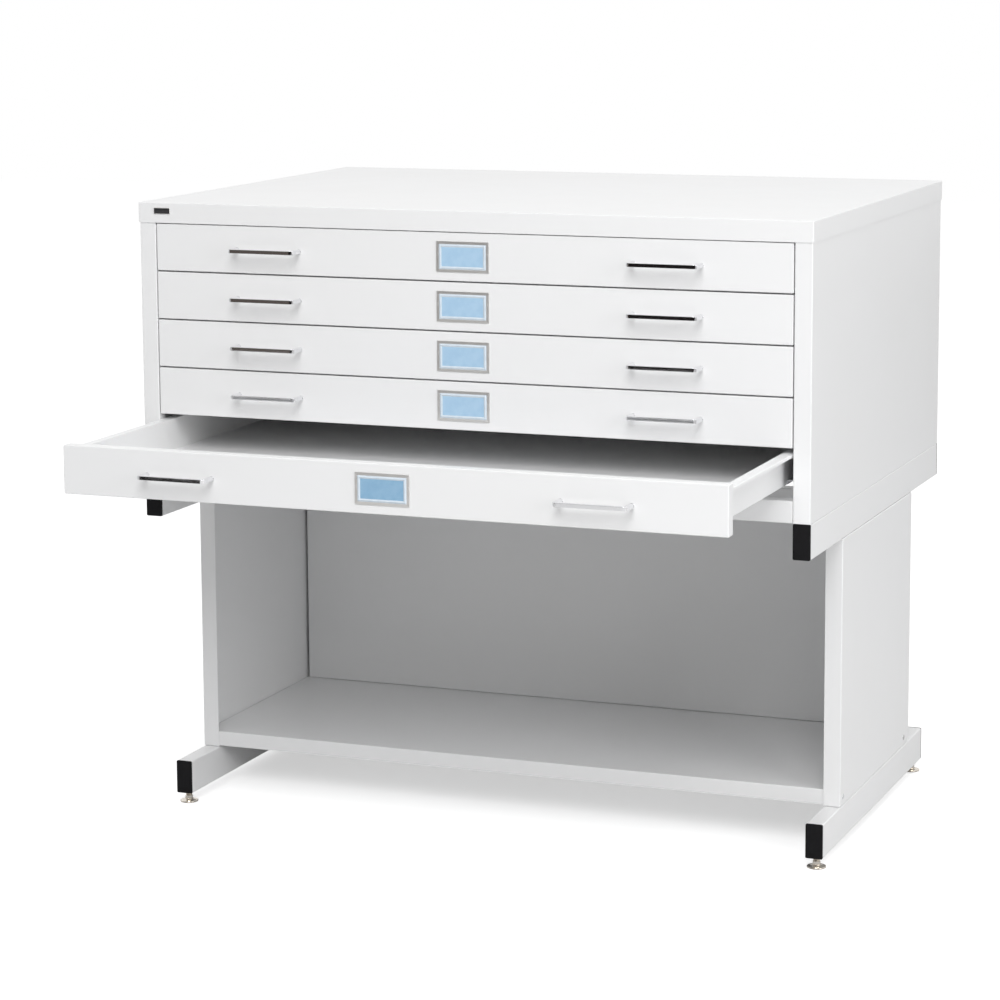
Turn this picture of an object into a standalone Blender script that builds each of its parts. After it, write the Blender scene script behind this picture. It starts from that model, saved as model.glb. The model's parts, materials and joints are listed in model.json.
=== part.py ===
# Five-drawer steel flat file on a high open base.
# Units are metres. The front faces -Y, +X is to the right of a person facing it, and +Z is up.
# The floor is at Z = 0. Drawers 1 to 4 are shut and drawer 5, the lowest, stands open.

import math

import bmesh
import bpy
from mathutils import Matrix, Vector

for old in list(bpy.data.objects):
    bpy.data.objects.remove(old, do_unlink=True)

# Driving dimensions
case_width = 1.0255
case_depth = 0.746
case_height = 0.4191
base_height = 0.5144
drawer_count = 5
drawer_pitch = 0.0713
drawer_open = 0.2935

gap = 0.0003
sheet = 0.0012
heavy_sheet = 0.0015
bend_radius = 0.0016

cap_overhang = sheet + gap
cap_skirt = 0.030
post_width = 0.0254
post_lip = 0.018
back_return = 0.0254
back_fold = 0.012
sill_depth = 0.025

front_side_gap = 0.0015
front_edge_gap = 0.001
front_depth = 0.018

# Heights of the tray and of the runner ledge are above the lower edge of the drawer's share of the opening
tray_sheet = 0.0009
tray_bottom = 0.017
tray_top = 0.064
tray_depth = 0.690
tray_side_gap = 0.002
tray_flange = 0.0155
tray_lip = 0.0050
hood_depth = 0.070

runner_top = 0.0245
runner_clearance = 0.0020
runner_web = 0.016
runner_fold = 0.006
runner_bite = 0.0004
runner_end_gap = 0.0015
strap_width = 0.025
strap_front_setback = 0.010
strap_rear_setback = 0.036
strap_below_ledge = 0.002

handle_offset = 0.3048
handle_centres = 0.0975
handle_radius = 0.0029
handle_standoff = 0.0265
handle_bend = 0.006
handle_foot_radius = 0.0036
handle_foot_height = 0.0010
handle_foot_taper = 0.0006

label_width = 0.0800
label_height = 0.0440
label_plate = 0.0012
label_rise = 0.0026
label_lip = 0.0008
label_ring_root = 0.0005
label_ring = (0.0714, 0.0354)
label_pocket = (0.0694, 0.0334)
label_window = (0.0644, 0.0280)
card_size = (0.0686, 0.0326)
card_thickness = 0.0005

badge_size = (0.0263, 0.0090)
badge_corner = 0.0012
badge_thickness = 0.0010
badge_inset = 0.0243
badge_below_top = 0.0123

tube_width = 0.0254
tube_height = 0.0508
tube_wall = 0.0016
tube_corner = 0.0022
plug_head = 0.003
plug_length = 0.006
leg_length = 0.589
foot_lift = 0.0164
foot_inset = 0.016
foot_radius = 0.014
foot_stem_radius = 0.005
foot_stem_clearance = 0.0006
foot_stem_top = 0.045
foot_stem_chamfer = 0.001
foot_sole_chamfer = (0.0012, 0.0010)
foot_rim_height = 0.0026
foot_dome_rise = 0.0048
foot_neck_radius = 0.0062
foot_neck_height = 0.0084

upright_depth = 0.4064
upright_setback = 0.174
upright_flange = 0.0254
shelf_height = 0.0246
base_back_setback = 0.553
base_back_edge_gap = 0.004
overcut = 0.010

# Places worked out from the driving dimensions
handle_reach = handle_standoff + handle_radius
front_y = (drawer_open + handle_reach - case_depth - cap_overhang) / 2
back_y = front_y + case_depth
half_width = case_width / 2
case_top = base_height + case_height
opening_top = case_top - cap_skirt
opening_half = half_width - post_width
front_half = opening_half - front_side_gap
tray_half = opening_half - tray_side_gap
tray_inside_half = tray_half - tray_flange
tray_wall_outer = tray_inside_half + tray_sheet
leg_top = foot_lift + tube_height
tube_bottom = base_height - tube_height
leg_front = front_y + (case_depth - leg_length) / 2
leg_back = leg_front + leg_length
upright_front = front_y + upright_setback
upright_back = upright_front + upright_depth
tube_centre_x = half_width - tube_width / 2


def material(name, colour, roughness, metallic):
    made = bpy.data.materials.new(name)
    made.use_nodes = True
    shader = made.node_tree.nodes["Principled BSDF"]
    shader.inputs["Base Color"].default_value = (*colour, 1.0)
    shader.inputs["Roughness"].default_value = roughness
    shader.inputs["Metallic"].default_value = metallic
    return made


white_enamel = material("white_enamel", (0.80, 0.80, 0.79), 0.42, 0.0)
plated_runner = material("plated_runner", (0.55, 0.56, 0.57), 0.38, 1.0)
chrome = material("chrome", (0.80, 0.80, 0.81), 0.10, 1.0)
blue_card = material("blue_card", (0.36, 0.58, 0.80), 0.75, 0.0)
black_plastic = material("black_plastic", (0.012, 0.011, 0.013), 0.45, 0.0)
nickel = material("nickel", (0.62, 0.58, 0.50), 0.25, 1.0)
badge_finish = material("badge_finish", (0.06, 0.06, 0.07), 0.35, 0.6)


def finished_mesh(name, bm, finish, smooth_angle=None):
    bmesh.ops.recalc_face_normals(bm, faces=bm.faces)
    mesh = bpy.data.meshes.new(name)
    bm.to_mesh(mesh)
    bm.free()
    mesh.materials.append(finish)
    if smooth_angle is not None:
        mesh.shade_smooth()
        mesh.set_sharp_from_angle(angle=smooth_angle)
    return mesh


def place(name, mesh, location=(0, 0, 0), parent=None):
    thing = bpy.data.objects.new(name, mesh)
    bpy.context.scene.collection.objects.link(thing)
    thing.location = location
    thing.parent = parent
    return thing


def carved(mesh, cutter_meshes, operation="DIFFERENCE"):
    """The mesh after a Boolean with each cutter in turn."""
    body = bpy.data.objects.new("body", mesh)
    bpy.context.scene.collection.objects.link(body)
    cutters = []
    for cutter_mesh in cutter_meshes:
        cutter = bpy.data.objects.new("cutter", cutter_mesh)
        bpy.context.scene.collection.objects.link(cutter)
        cutter.hide_render = True
        cutter.display_type = "WIRE"
        cutters.append(cutter)
        cut = body.modifiers.new("cut", "BOOLEAN")
        cut.operation = operation
        cut.solver = "EXACT"
        cut.object = cutter
    evaluated = body.evaluated_get(bpy.context.evaluated_depsgraph_get())
    result = bpy.data.meshes.new_from_object(evaluated)
    result.name = mesh.name
    for leftover in [body, *cutters]:
        bpy.data.objects.remove(leftover, do_unlink=True)
    return result


def box(low, high):
    bm = bmesh.new()
    middle = (Vector(low) + Vector(high)) / 2
    size = Vector(high) - Vector(low)
    placing = Matrix.Translation(middle) @ Matrix.Diagonal((*size, 1.0))
    bmesh.ops.create_cube(bm, size=1.0, matrix=placing)
    return bm


def rounded_box(low, high, radius, keep_sharp=None, steps=3):
    """A box with rounded edges. The edges round the face that looks along keep_sharp stay square."""
    bm = box(low, high)
    edges = list(bm.edges)
    if keep_sharp is not None:
        direction = Vector(keep_sharp)
        bm.normal_update()
        kept = {e for f in bm.faces if f.normal.dot(direction) > 0.9 for e in f.edges}
        edges = [e for e in edges if e not in kept]
    bmesh.ops.bevel(
        bm, geom=edges, offset=radius, offset_type="OFFSET", segments=steps, profile=0.5, affect="EDGES"
    )
    return bm


def pan(low, high, open_towards, wall, radius=bend_radius):
    """A folded sheet-metal pan: a box with one open side and walls of one thickness."""
    bm = rounded_box(low, high, radius, keep_sharp=open_towards)
    direction = Vector(open_towards)
    bm.normal_update()
    mouth = [f for f in bm.faces if f.normal.dot(direction) > 0.99]
    mouth.sort(key=lambda f: -f.calc_area())
    bmesh.ops.inset_region(bm, faces=mouth[:1], thickness=wall, use_even_offset=True)
    pushed = bmesh.ops.extrude_face_region(bm, geom=mouth[:1])
    floor_verts = [v for v in pushed["geom"] if isinstance(v, bmesh.types.BMVert)]
    bmesh.ops.delete(bm, geom=mouth[:1], context="FACES")
    reach = abs((Vector(high) - Vector(low)).dot(direction)) - wall
    bmesh.ops.translate(bm, verts=floor_verts, vec=-direction * reach)
    return bm


def filleted(points, radius, steps=3):
    """A polyline with its inner corners rounded."""
    out = [Vector(points[0])]
    for before, corner, after in zip(points, points[1:], points[2:]):
        corner = Vector(corner)
        arm_in = (Vector(before) - corner).normalized()
        arm_out = (Vector(after) - corner).normalized()
        reach = radius / math.tan(arm_in.angle(arm_out) / 2)
        centre = corner + (arm_in + arm_out).normalized() * math.hypot(radius, reach)
        start = corner + arm_in * reach - centre
        end = corner + arm_out * reach - centre
        for step in range(steps + 1):
            blend = start.lerp(end, step / steps)
            out.append(centre + blend.normalized() * radius)
    out.append(Vector(points[-1]))
    return out


def folded_outline(points, thickness):
    """The closed outline of a strip of sheet that lies to the left of a polyline."""
    line = [Vector(p) for p in points]
    directions = [(b - a).normalized() for a, b in zip(line, line[1:])]
    normals = [Vector((-d.y, d.x)) for d in directions]
    other = [line[0] + normals[0] * thickness]
    for corner, one, two in zip(line[1:], normals, normals[1:]):
        other.append(corner + (one + two) * (thickness / (1 + one.dot(two))))
    other.append(line[-1] + normals[-1] * thickness)
    return line + other[::-1]


def extruded(outline, axis, start, end):
    """A flat outline pushed along an axis. The outline is XY for Z, YZ for X and XZ for Y."""
    bm = bmesh.new()
    spread = {
        "Z": lambda a, b: (a, b, start),
        "X": lambda a, b: (start, a, b),
        "Y": lambda a, b: (a, start, b),
    }[axis]
    face = bm.faces.new([bm.verts.new(spread(p[0], p[1])) for p in outline])
    pushed = bmesh.ops.extrude_face_region(bm, geom=[face])
    moved = [v for v in pushed["geom"] if isinstance(v, bmesh.types.BMVert)]
    shift = Vector([(end - start) * (axis == letter) for letter in "XYZ"])
    bmesh.ops.translate(bm, verts=moved, vec=shift)
    return bm


def rounded_rectangle(width, height, radius, steps=3):
    points = []
    for quarter, (sx, sz) in enumerate(((1, 1), (-1, 1), (-1, -1), (1, -1))):
        for step in range(steps + 1):
            angle = (quarter + step / steps) * math.pi / 2
            across = sx * (width / 2 - radius) + radius * math.cos(angle)
            points.append((across, sz * (height / 2 - radius) + radius * math.sin(angle)))
    return points


def tube(width, height, length):
    """A rectangular tube along Y, open at both ends, with its front end at Y = 0."""
    bm = bmesh.new()
    loops = []
    for shrink in (0.0, tube_wall):
        radius = tube_corner - shrink
        outline = rounded_rectangle(width - 2 * shrink, height - 2 * shrink, radius)
        loops.append([bm.verts.new((x, 0.0, z)) for x, z in outline])
    count = len(loops[0])
    ring = []
    for i in range(count):
        j = (i + 1) % count
        ring.append(bm.faces.new((loops[0][i], loops[0][j], loops[1][j], loops[1][i])))
    pushed = bmesh.ops.extrude_face_region(bm, geom=ring)
    moved = [v for v in pushed["geom"] if isinstance(v, bmesh.types.BMVert)]
    bmesh.ops.translate(bm, verts=moved, vec=(0.0, length, 0.0))
    return bm


def turned(profile, sides=32):
    """A solid of revolution about Z from a (radius, height) profile that runs from axis to axis."""
    bm = bmesh.new()
    rings = []
    for radius, height in profile:
        if radius == 0.0:
            rings.append([bm.verts.new((0.0, 0.0, height))])
            continue
        ring = []
        for side in range(sides):
            angle = side * math.tau / sides
            ring.append(bm.verts.new((radius * math.cos(angle), radius * math.sin(angle), height)))
        rings.append(ring)
    for low, high in zip(rings, rings[1:]):
        for side in range(sides):
            after = (side + 1) % sides
            lower = (low[side % len(low)], low[after % len(low)])
            upper = (high[after % len(high)], high[side % len(high)])
            bm.faces.new(list(dict.fromkeys(lower + upper)))
    return bm


def mirrored(bm):
    bmesh.ops.scale(bm, verts=bm.verts, vec=(-1.0, 1.0, 1.0))
    return bm


sides = (("left", -1), ("right", 1))


def make_cap():
    low = (-half_width - cap_overhang, front_y - cap_overhang, case_top - cap_skirt)
    high = (half_width + cap_overhang, back_y + cap_overhang, case_top)
    place("top_cap", finished_mesh("top_cap", pan(low, high, (0, 0, -1), sheet), white_enamel))


def make_badge():
    outline = rounded_rectangle(*badge_size, badge_corner)
    bm = extruded(outline, "Y", 0.0, -badge_thickness)
    mesh = finished_mesh("badge_plate", bm, badge_finish)
    x = -half_width + badge_inset + badge_size[0] / 2
    place("badge_plate", mesh, (x, front_y - cap_overhang - gap, case_top - badge_below_top))


def make_case():
    low = base_height + gap
    high = case_top - sheet - gap
    for side, sign in sides:
        fold = filleted(
            [
                (-half_width + post_width, front_y + post_lip),
                (-half_width + post_width, front_y),
                (-half_width, front_y),
                (-half_width, back_y),
                (-half_width + back_return, back_y),
            ],
            bend_radius,
        )
        bm = extruded(folded_outline(fold, -sheet), "Z", low, high)
        if sign > 0:
            mirrored(bm)
        place(f"case_side_{side}", finished_mesh(f"case_side_{side}", bm, white_enamel))

    back_outer = back_y - sheet - gap
    back_half = half_width - sheet - gap
    bm = pan(
        (-back_half, back_outer - back_fold, low),
        (back_half, back_outer, high),
        (0, -1, 0),
        sheet,
    )
    place("case_back", finished_mesh("case_back", bm, white_enamel))

    sill_top = opening_top - drawer_count * drawer_pitch - front_edge_gap
    sill_half = opening_half - gap
    fold = filleted(
        [
            (front_y + sill_depth, sill_top),
            (front_y, sill_top),
            (front_y, low),
            (front_y + sill_depth, low),
        ],
        bend_radius,
    )
    bm = extruded(folded_outline(fold, sheet), "X", -sill_half, sill_half)
    place("front_sill", finished_mesh("front_sill", bm, white_enamel))

    rear_of_sill = back_outer - back_fold - gap
    fold = filleted(
        [
            (rear_of_sill - sill_depth, sill_top),
            (rear_of_sill, sill_top),
            (rear_of_sill, low),
            (rear_of_sill - sill_depth, low),
        ],
        bend_radius,
    )
    bm = extruded(folded_outline(fold, -sheet), "X", -sill_half, sill_half)
    place("rear_sill", finished_mesh("rear_sill", bm, white_enamel))


def make_runners():
    """Each side has three upright straps with one ledge for each drawer."""
    outer = half_width - sheet - gap
    ledge_front = front_y + post_lip + runner_end_gap
    ledge_back = back_y - sheet - back_fold - 2 * gap - sill_depth - runner_end_gap
    ledge_outer = outer - sheet + runner_bite
    ledge_inner = tray_wall_outer + runner_clearance
    lowest_ledge = opening_top - drawer_count * drawer_pitch + runner_top
    strap_low = lowest_ledge - runner_web - strap_below_ledge
    strap_high = opening_top - drawer_pitch + tray_top
    strap_places = (
        ledge_front + strap_front_setback,
        (ledge_front + ledge_back) / 2,
        ledge_back - strap_rear_setback,
    )
    for side, sign in sides:
        first, *rest = [
            finished_mesh(
                "strap",
                box((outer - sheet, y, strap_low), (outer, y + strap_width, strap_high)),
                plated_runner,
            )
            for y in strap_places
        ]
        ledges = []
        for number in range(1, drawer_count + 1):
            top = opening_top - number * drawer_pitch + runner_top
            fold = filleted(
                [
                    (ledge_outer, top - runner_web),
                    (ledge_outer, top),
                    (ledge_inner, top),
                    (ledge_inner, top - runner_fold),
                ],
                bend_radius,
            )
            bm = extruded(folded_outline(fold, sheet), "Y", ledge_front, ledge_back)
            ledges.append(finished_mesh("ledge", bm, plated_runner))
        mesh = carved(first, ledges + rest, "UNION")
        if sign < 0:
            mesh.transform(Matrix.Diagonal((-1.0, 1.0, 1.0, 1.0)))
            mesh.flip_normals()
        mesh.name = f"runner_frame_{side}"
        place(f"runner_frame_{side}", mesh)


def drawer_front_mesh():
    low = (-front_half, 0.0, front_edge_gap)
    high = (front_half, front_depth, drawer_pitch - front_edge_gap)
    return finished_mesh("drawer_front", pan(low, high, (0, 1, 0), sheet), white_enamel)


def drawer_tray_mesh():
    """A tray with a rear hood. Each side wall carries a flange that turns outward and then down."""
    start = front_depth + gap
    end = start + tray_depth
    shell = rounded_box(
        (-tray_half, start, tray_bottom), (tray_half, end, tray_top), bend_radius, (0, 0, -1)
    )
    under_top = tray_top - tray_sheet
    floor = tray_bottom + tray_sheet
    inner_end = end - tray_sheet
    hood_edge = inner_end - hood_depth
    room = [
        (start + tray_sheet, floor),
        (inner_end, floor),
        (inner_end, under_top),
        (hood_edge, under_top),
        (hood_edge, tray_top + overcut),
        (start + tray_sheet, tray_top + overcut),
    ]
    room_bm = extruded(room, "X", -tray_inside_half, tray_inside_half)
    cutters = [finished_mesh("room", room_bm, white_enamel)]
    for _, sign in sides:
        recess = [
            (sign * tray_wall_outer, tray_bottom - overcut),
            (sign * (tray_half + overcut), tray_bottom - overcut),
            (sign * (tray_half + overcut), tray_top - tray_lip),
            (sign * (tray_half - tray_sheet), tray_top - tray_lip),
            (sign * (tray_half - tray_sheet), under_top),
            (sign * tray_wall_outer, under_top),
        ]
        recess_bm = extruded(recess, "Y", start - overcut, end + overcut)
        cutters.append(finished_mesh("recess", recess_bm, white_enamel))
    return carved(finished_mesh("drawer_tray", shell, white_enamel), cutters)


def handle_mesh():
    """A bent round bar with a flared foot at each end, standing out along -Y from Y = 0."""
    half = handle_centres / 2
    reach = handle_standoff
    path = [(-half, -gap, handle_foot_radius)]
    path.append((-half, -gap - handle_foot_height, handle_foot_radius))
    path.append((-half, -gap - handle_foot_height - handle_foot_taper, handle_radius))
    for step in range(6):
        angle = step / 5 * math.pi / 2
        x = -half + handle_bend * (1 - math.cos(angle))
        y = -reach + handle_bend * (1 - math.sin(angle))
        path.append((x, y, handle_radius))
    path += [(-x, y, radius) for x, y, radius in reversed(path)]

    curve = bpy.data.curves.new("handle", "CURVE")
    curve.dimensions = "3D"
    curve.bevel_depth = 1.0
    curve.bevel_resolution = 2
    curve.use_fill_caps = True
    spline = curve.splines.new("POLY")
    spline.points.add(len(path) - 1)
    for point, (x, y, radius) in zip(spline.points, path):
        point.co = (x, y, 0.0, 1.0)
        point.radius = radius
    bar = bpy.data.objects.new("handle", curve)
    bpy.context.scene.collection.objects.link(bar)
    mesh = bpy.data.meshes.new_from_object(bar.evaluated_get(bpy.context.evaluated_depsgraph_get()))
    bpy.data.objects.remove(bar, do_unlink=True)
    mesh.name = "handle"
    bm = bmesh.new()
    bm.from_mesh(mesh)
    bmesh.ops.remove_doubles(bm, verts=bm.verts, dist=0.00001)
    mesh.materials.clear()
    return finished_mesh("handle", bm, chrome, math.radians(40))


def centred_block(size, y_from, y_to):
    width, height = size
    return box((-width / 2, min(y_from, y_to), -height / 2), (width / 2, max(y_from, y_to), height / 2))


def label_frame_mesh():
    """A stamped holder: a flat plate whose raised middle makes the pocket for the card."""
    plate = centred_block((label_width, label_height), -gap, -gap - label_plate)
    ring = centred_block(label_ring, -gap - label_ring_root, -gap - label_rise)
    body = carved(
        finished_mesh("label_frame", plate, chrome), [finished_mesh("ring", ring, chrome)], "UNION"
    )
    pocket = centred_block(label_pocket, overcut, -gap - label_rise + label_lip)
    window = centred_block(label_window, 2 * overcut, -overcut)
    return carved(body, [finished_mesh("pocket", pocket, chrome), finished_mesh("window", window, chrome)])


def make_drawers():
    front = drawer_front_mesh()
    tray = drawer_tray_mesh()
    handle = handle_mesh()
    frame = label_frame_mesh()
    card_front = -label_rise + label_lip
    card_bm = centred_block(card_size, card_front, card_front + card_thickness)
    card = finished_mesh("label_card", card_bm, blue_card)
    middle = drawer_pitch / 2
    for number in range(1, drawer_count + 1):
        slide = bpy.data.objects.new(f"drawer_{number}_slide", None)
        bpy.context.scene.collection.objects.link(slide)
        pulled = drawer_open if number == drawer_count else 0.0
        slide.location = (0.0, front_y - pulled, opening_top - number * drawer_pitch)
        place(f"drawer_{number}_front", front, parent=slide)
        place(f"drawer_{number}_tray", tray, parent=slide)
        for side, sign in sides:
            place(f"drawer_{number}_handle_{side}", handle, (sign * handle_offset, 0, middle), slide)
        place(f"drawer_{number}_label_frame", frame, (0, 0, middle), slide)
        place(f"drawer_{number}_label_card", card, (0, 0, middle), slide)


def end_plug_mesh():
    """A moulded plug: a head that covers the tube's end at Y = 0 and a body that sits inside it."""
    bm = extruded(rounded_rectangle(tube_width, tube_height, tube_corner), "Y", 0.0, plug_head)
    bm.normal_update()
    bmesh.ops.recalc_face_normals(bm, faces=bm.faces)
    rear = max(bm.faces, key=lambda f: f.calc_center_median().y)
    bmesh.ops.inset_region(bm, faces=[rear], thickness=tube_wall + gap, use_even_offset=True)
    pushed = bmesh.ops.extrude_face_region(bm, geom=[rear])
    moved = [v for v in pushed["geom"] if isinstance(v, bmesh.types.BMVert)]
    bmesh.ops.delete(bm, geom=[rear], context="FACES")
    bmesh.ops.translate(bm, verts=moved, vec=(0.0, plug_length, 0.0))
    return finished_mesh("end_plug", bm, black_plastic)


def make_tubes():
    plug = end_plug_mesh()
    plain_length = case_depth - 2 * (plug_head + gap)
    top_tube = finished_mesh("top_tube", tube(tube_width, tube_height, plain_length), white_enamel)
    leg_tube_length = leg_length - 2 * (plug_head + gap)
    leg = finished_mesh("leg_tube", tube(tube_width, tube_height, leg_tube_length), white_enamel)
    holes = []
    for y in (foot_inset, leg_length - foot_inset):
        radius = foot_stem_radius + foot_stem_clearance
        drill = turned([(0.0, -overcut), (radius, -overcut), (radius, overcut), (0.0, overcut)])
        bmesh.ops.translate(drill, verts=drill.verts, vec=(0, y - plug_head - gap, -tube_height / 2))
        holes.append(finished_mesh("drill", drill, white_enamel))
    leg = carved(leg, holes)
    for side, sign in sides:
        x = sign * tube_centre_x
        middle = base_height - tube_height / 2
        place(f"top_tube_{side}", top_tube, (x, front_y + plug_head + gap, middle))
        place(f"top_tube_plug_front_{side}", plug, (x, front_y, middle))
        turned_plug = place(f"top_tube_plug_rear_{side}", plug, (x, back_y, middle))
        turned_plug.rotation_euler = (0.0, 0.0, math.pi)
        middle = foot_lift + tube_height / 2
        place(f"leg_tube_{side}", leg, (x, leg_front + plug_head + gap, middle))
        place(f"leg_plug_front_{side}", plug, (x, leg_front, middle))
        turned_plug = place(f"leg_plug_rear_{side}", plug, (x, leg_back, middle))
        turned_plug.rotation_euler = (0.0, 0.0, math.pi)


def make_base():
    low = leg_top + gap
    high = tube_bottom - gap
    for side, sign in sides:
        bm = pan(
            (-half_width, upright_front, low),
            (-half_width + upright_flange, upright_back, high),
            (1, 0, 0),
            heavy_sheet,
        )
        if sign > 0:
            mirrored(bm)
        place(f"upright_{side}", finished_mesh(f"upright_{side}", bm, white_enamel))

    clear = heavy_sheet + gap
    shelf_low = low + clear
    shelf_top = leg_top + shelf_height
    shelf_half = half_width - clear
    bm = pan(
        (-shelf_half, upright_front + clear, shelf_low),
        (shelf_half, upright_back - clear, shelf_top),
        (0, 0, -1),
        sheet,
    )
    place("base_shelf", finished_mesh("base_shelf", bm, white_enamel))

    back_half = shelf_half - base_back_edge_gap
    bm = pan(
        (-back_half, front_y + base_back_setback, shelf_top + gap),
        (back_half, upright_back - clear, high - clear),
        (0, 1, 0),
        sheet,
    )
    place("base_back", finished_mesh("base_back", bm, white_enamel))


def make_feet():
    """Levelling glides, each with its origin on its own screw axis and its sole at Z = 0."""
    chamfer_in, chamfer_up = foot_sole_chamfer
    profile = [
        (0.0, 0.0),
        (foot_radius - chamfer_in, 0.0),
        (foot_radius, chamfer_up),
        (foot_radius, foot_rim_height),
    ]
    dome_steps = 6
    for step in range(1, dome_steps + 1):
        angle = step / dome_steps * math.pi / 2
        radius = foot_neck_radius + (foot_radius - foot_neck_radius) * math.cos(angle)
        profile.append((radius, foot_rim_height + foot_dome_rise * math.sin(angle)))
    profile += [
        (foot_stem_radius, foot_neck_height),
        (foot_stem_radius, foot_stem_top - foot_stem_chamfer),
        (foot_stem_radius - foot_stem_chamfer, foot_stem_top),
        (0.0, foot_stem_top),
    ]
    mesh = finished_mesh("foot", turned(profile), nickel, math.radians(35))
    for end, y in (("front", leg_front + foot_inset), ("rear", leg_back - foot_inset)):
        for side, sign in sides:
            place(f"foot_{end}_{side}", mesh, (sign * tube_centre_x, y, 0.0))


make_cap()
make_badge()
make_case()
make_runners()
make_drawers()
make_tubes()
make_base()
make_feet()
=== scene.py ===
import json
import math

import bmesh
import bpy
from mathutils import Matrix, Vector

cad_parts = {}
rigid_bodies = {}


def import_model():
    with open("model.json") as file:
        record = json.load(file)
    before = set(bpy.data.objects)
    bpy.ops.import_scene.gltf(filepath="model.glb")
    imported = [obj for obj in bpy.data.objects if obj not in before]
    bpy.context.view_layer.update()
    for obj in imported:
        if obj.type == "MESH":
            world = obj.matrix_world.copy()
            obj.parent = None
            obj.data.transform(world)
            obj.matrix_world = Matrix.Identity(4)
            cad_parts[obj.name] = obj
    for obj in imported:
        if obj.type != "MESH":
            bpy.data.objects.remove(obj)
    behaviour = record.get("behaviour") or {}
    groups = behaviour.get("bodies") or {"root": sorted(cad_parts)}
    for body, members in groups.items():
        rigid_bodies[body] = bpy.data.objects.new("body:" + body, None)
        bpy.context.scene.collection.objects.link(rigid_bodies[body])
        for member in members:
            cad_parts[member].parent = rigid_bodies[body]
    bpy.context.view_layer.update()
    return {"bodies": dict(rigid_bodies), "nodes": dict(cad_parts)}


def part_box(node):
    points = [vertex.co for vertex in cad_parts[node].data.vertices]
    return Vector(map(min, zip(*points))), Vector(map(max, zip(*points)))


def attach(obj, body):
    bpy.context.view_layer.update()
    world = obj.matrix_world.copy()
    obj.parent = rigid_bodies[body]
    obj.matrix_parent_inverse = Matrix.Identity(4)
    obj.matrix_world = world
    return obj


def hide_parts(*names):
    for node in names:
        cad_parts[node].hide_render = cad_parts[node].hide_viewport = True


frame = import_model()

stageScene = bpy.context.scene
sideSigns = {"left": -1, "right": 1}
drawerBodies = sorted(name for name in frame["bodies"] if name.startswith("drawer_"))
footBodies = sorted(name for name in frame["bodies"] if name.startswith("foot_"))
facingFront = Matrix.Rotation(math.radians(90), 4, "X")  # turns +Z to -Y
facingRear = Matrix.Rotation(math.radians(-90), 4, "X")  # turns +Z to +Y


# mesh helpers

def quarterTurn(step, steps):
    return step / steps * math.pi / 2


def roundedLoop(width, height, radius, steps=4):
    # a rounded rectangle as (a, b) pairs, anticlockwise from the right
    radius = min(radius, min(width, height) / 2 - 1e-6)  # two corners never meet
    points = []
    for quarter, (signA, signB) in enumerate(((1, 1), (-1, 1), (-1, -1), (1, -1))):
        for step in range(steps + 1):
            angle = (quarter + step / steps) * math.pi / 2
            a = signA * (width / 2 - radius) + radius * math.cos(angle)
            b = signB * (height / 2 - radius) + radius * math.sin(angle)
            points.append((a, b))
    return points


def insetLoops(width, height, stations, shape):
    # one rounded rectangle across Y for each (inset, y) pair; its corner shrinks as it moves in
    loops = []
    for inset, y in stations:
        corner = max(shape["cornerLeast"], shape["corner"] - inset * shape["cornerLoss"])
        loop = roundedLoop(width - 2 * inset, height - 2 * inset, corner, shape["cornerSteps"])
        loops.append([(a, y, b) for a, b in loop])
    return loops


def loft(bm, loops, closed=False):
    # skins a row of loops with the same count of points, and caps both ends unless it closes on itself
    rings = [[bm.verts.new(point) for point in loop] for loop in loops]
    pairs = list(zip(rings, rings[1:]))
    if closed:
        pairs.append((rings[-1], rings[0]))
    faces = []
    for one, two in pairs:
        for i in range(len(one)):
            j = (i + 1) % len(one)
            faces.append(bm.faces.new((one[i], one[j], two[j], two[i])))
    if not closed:
        bm.faces.new(rings[0][::-1])
        bm.faces.new(rings[-1])
    return faces


def ringLoop(radius, height, sides):
    turns = [side * math.tau / sides for side in range(sides)]
    return [(radius * math.cos(turn), radius * math.sin(turn), height) for turn in turns]


def lathe(profile, sides=32):
    # a solid of revolution about Z from (radius, height) pairs
    bm = bmesh.new()
    loft(bm, [ringLoop(radius, height, sides) for radius, height in profile])
    return bm

def roundedProfile(radius, low, high, edge, steps=3):
    # (radius, height) pairs of a disc with rounded rims
    lower = []
    upper = []
    for step in range(steps + 1):
        turn = quarterTurn(step, steps)
        inward = edge * (1 - math.sin(turn))
        rise = edge * (1 - math.cos(turn))
        lower.append((radius - inward, low + rise))
        upper.append((radius - inward, high - rise))
    return lower, upper[::-1]


def dome(radius, low, rise, steps):
    # (radius, height) pairs up a dome, short of its tip
    turns = [quarterTurn(step, steps) for step in range(1, steps)]
    return [(radius * math.cos(turn), low + rise * math.sin(turn)) for turn in turns]


def finishedMesh(name, bm, finish, smoothAngle=35.0):
    bmesh.ops.recalc_face_normals(bm, faces=bm.faces)
    mesh = bpy.data.meshes.new(name)
    bm.to_mesh(mesh)
    bm.free()
    for one in finish if isinstance(finish, (list, tuple)) else [finish]:
        mesh.materials.append(one)
    mesh.shade_smooth()
    mesh.set_sharp_from_angle(angle=math.radians(smoothAngle))
    return mesh


def manyOf(name, mesh, places, finish):
    # one mesh that holds a copy of another at each place
    bm = bmesh.new()
    for place in places:
        one = mesh.copy()
        one.transform(place)
        bm.from_mesh(one)
        bpy.data.meshes.remove(one)
    return finishedMesh(name, bm, finish)


def flattenShading(thing, keepSharp):
    # large faces shade flat beside their rounded edges
    flat = thing.modifiers.new("flatFaces", "WEIGHTED_NORMAL")
    flat.weight = 80
    flat.keep_sharp = keepSharp


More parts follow.
